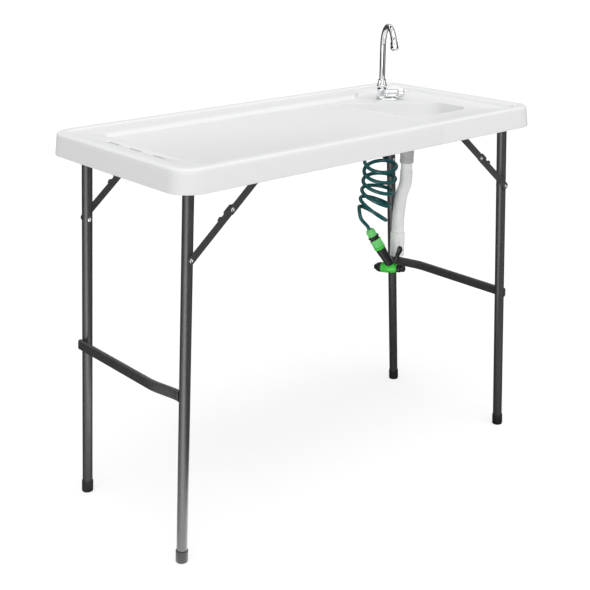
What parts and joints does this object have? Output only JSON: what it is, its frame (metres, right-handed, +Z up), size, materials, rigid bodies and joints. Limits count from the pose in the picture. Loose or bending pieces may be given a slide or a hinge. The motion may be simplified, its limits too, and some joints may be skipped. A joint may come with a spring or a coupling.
{
  "type": "folding_camping_table_with_sink",
  "caption": "White folding camping table with a built-in sink, chrome gooseneck tap, coiled spray hose, drain hose and folding dark grey steel legs.",
  "frame": {"origin": "on the floor under the middle of the object", "axes": "+X is along the tabletop towards the sink, +Y is across it away from the user, +Z is up"},
  "size_m": [1.14, 0.55, 1.1378],
  "materials": {
    "table_plastic": "white blow-moulded plastic, satin, finely pebbled on the work area",
    "white_hose": "white flexible plastic, finely ribbed",
    "grey_plastic": "satin mid grey",
    "grey_coat": "dark grey hammered powder coat on steel",
    "chrome": "polished",
    "brass": "machined",
    "black_plastic": "satin black",
    "green_plastic": "bright green, glossy",
    "light_green_plastic": "lighter green, glossy",
    "teal_hose": "dark teal, glossy"
  },
  "bodies": {
    "table": {"tabletop": "table_plastic", "drain_flange": "chrome", "sink_strainer": "chrome", "drain_locknut": "table_plastic", "drain_hose_nut": "grey_plastic", "drain_hose": "white_hose", "drain_hose_cuff": "white_hose", "saddle_left_front": "grey_coat", "saddle_left_back": "grey_coat", "saddle_right_front": "grey_coat", "saddle_right_back": "grey_coat", "brace_bracket_left_front": "grey_coat", "brace_bracket_left_back": "grey_coat", "brace_bracket_right_front": "grey_coat", "brace_bracket_right_back": "grey_coat", "tap_base": "chrome", "tap_body": "chrome", "shank_nut": "brass", "supply_tee": "black_plastic", "hose_inlet": "brass", "hose_coupling": "green_plastic", "hose_lead": "teal_hose", "hose_coil": "teal_hose", "hose_tail": "teal_hose", "connector_nut": "light_green_plastic", "connector_body": "black_plastic", "gun_adapter": "green_plastic", "gun_handle": "black_plastic", "gun_head": "green_plastic", "gun_rear_cap": "black_plastic"},
    "leg_frame_left": {"pivot_tube_left": "grey_coat", "leg_left_front": "grey_coat", "leg_left_back": "grey_coat", "crossbar_left": "grey_coat", "foot_cap_left_front": "black_plastic", "foot_cap_left_back": "black_plastic"},
    "leg_frame_right": {"pivot_tube_right": "grey_coat", "leg_right_front": "grey_coat", "leg_right_back": "grey_coat", "crossbar_right": "grey_coat", "foot_cap_right_front": "black_plastic", "foot_cap_right_back": "black_plastic"},
    "upper_link_left_front": {"brace_upper_left_front": "grey_coat"},
    "upper_link_left_back": {"brace_upper_left_back": "grey_coat"},
    "upper_link_right_front": {"brace_upper_right_front": "grey_coat"},
    "upper_link_right_back": {"brace_upper_right_back": "grey_coat"},
    "lower_link_left_front": {"brace_lower_left_front": "grey_coat"},
    "lower_link_left_back": {"brace_lower_left_back": "grey_coat"},
    "lower_link_right_front": {"brace_lower_right_front": "grey_coat"},
    "lower_link_right_back": {"brace_lower_right_back": "grey_coat"},
    "spout": {"spout_collar": "chrome", "spout_tube": "chrome", "spout_aerator": "chrome"},
    "tap_handle": {"tap_spindle": "brass", "tap_knob": "chrome"},
    "trigger": {"gun_trigger": "black_plastic"},
    "dial": {"spray_dial": "black_plastic"},
    "flow_control": {"flow_knob": "black_plastic"},
    "release_ring": {"release_sleeve": "light_green_plastic"}
  },
  "joints": [
    {"name": "leg_fold_left", "type": "hinge", "parent": "table", "child": "leg_frame_left", "pos_m": [-0.491, 0, 0.896], "axis": [0, -1, 0], "range_deg": [0, 94]},
    {"name": "leg_fold_right", "type": "hinge", "parent": "table", "child": "leg_frame_right", "pos_m": [0.491, 0, 0.896], "axis": [0, 1, 0], "range_deg": [0, 89]},
    {"name": "upper_link_left_front_turn", "type": "hinge", "parent": "table", "child": "upper_link_left_front", "pos_m": [-0.298, -0.2028, 0.896], "axis": [0, -1, 0], "range_deg": [0, 140.37]},
    {"name": "upper_link_left_back_turn", "type": "hinge", "parent": "table", "child": "upper_link_left_back", "pos_m": [-0.298, 0.2388, 0.896], "axis": [0, -1, 0], "range_deg": [0, 140.37]},
    {"name": "upper_link_right_front_turn", "type": "hinge", "parent": "table", "child": "upper_link_right_front", "pos_m": [0.298, -0.2388, 0.896], "axis": [0, 1, 0], "range_deg": [0, 134.38]},
    {"name": "upper_link_right_back_turn", "type": "hinge", "parent": "table", "child": "upper_link_right_back", "pos_m": [0.298, 0.2028, 0.896], "axis": [0, 1, 0], "range_deg": [0, 134.38]},
    {"name": "lower_link_left_front_turn", "type": "hinge", "parent": "leg_frame_left", "child": "lower_link_left_front", "pos_m": [-0.50292, -0.2005, 0.72642], "axis": [0, 1, 0], "range_deg": [0, 133.61]},
    {"name": "lower_link_left_back_turn", "type": "hinge", "parent": "leg_frame_left", "child": "lower_link_left_back", "pos_m": [-0.50292, 0.2365, 0.72642], "axis": [0, 1, 0], "range_deg": [0, 133.61]},
    {"name": "lower_link_right_front_turn", "type": "hinge", "parent": "leg_frame_right", "child": "lower_link_right_front", "pos_m": [0.50292, -0.2365, 0.72642], "axis": [0, -1, 0], "range_deg": [0, 127.76]},
    {"name": "lower_link_right_back_turn", "type": "hinge", "parent": "leg_frame_right", "child": "lower_link_right_back", "pos_m": [0.50292, 0.2005, 0.72642], "axis": [0, -1, 0], "range_deg": [0, 127.76]},
    {"name": "spout_swivel", "type": "hinge", "parent": "table", "child": "spout", "pos_m": [0.365, 0.098, 0.9636], "axis": [0, 0, 1], "continuous": true},
    {"name": "tap_turn", "type": "hinge", "parent": "table", "child": "tap_handle", "pos_m": [0.365, 0.098, 0.9471], "axis": [0.7997, -0.6004, 0], "range_deg": [0, 90]},
    {"name": "trigger_pull", "type": "hinge", "parent": "table", "child": "trigger", "pos_m": [0.29367, -0.04083, 0.50468], "axis": [-0.8856, -0.3995, -0.2368], "range_deg": [0, 14], "stiffness_Nm_per_rad": 0.6, "springref_deg": -11.46},
    {"name": "spray_dial_turn", "type": "hinge", "parent": "table", "child": "dial", "pos_m": [0.2928, -0.0296, 0.489], "axis": [0.3982, -0.9156, 0.0558], "continuous": true},
    {"name": "flow_knob_turn", "type": "hinge", "parent": "table", "child": "flow_control", "pos_m": [0.2928, -0.0296, 0.489], "axis": [0.3982, -0.9156, 0.0558], "continuous": true},
    {"name": "release_sleeve_slide", "type": "slide", "parent": "table", "child": "release_ring", "axis": [-0.3804, 0.3314, 0.8634], "range_m": [0, 0.0045], "stiffness_N_per_m": 400, "springref_m": -0.002}
  ],
  "couplings": [
    {"joint": "upper_link_left_front_turn", "follows": "leg_fold_left", "ratio": 1.4932},
    {"joint": "upper_link_left_back_turn", "follows": "leg_fold_left", "ratio": 1.4932},
    {"joint": "lower_link_left_front_turn", "follows": "leg_fold_left", "ratio": 1.4213},
    {"joint": "lower_link_left_back_turn", "follows": "leg_fold_left", "ratio": 1.4213},
    {"joint": "upper_link_right_front_turn", "follows": "leg_fold_right", "ratio": 1.5098},
    {"joint": "upper_link_right_back_turn", "follows": "leg_fold_right", "ratio": 1.5098},
    {"joint": "lower_link_right_front_turn", "follows": "leg_fold_right", "ratio": 1.4354},
    {"joint": "lower_link_right_back_turn", "follows": "leg_fold_right", "ratio": 1.4354}
  ]
}
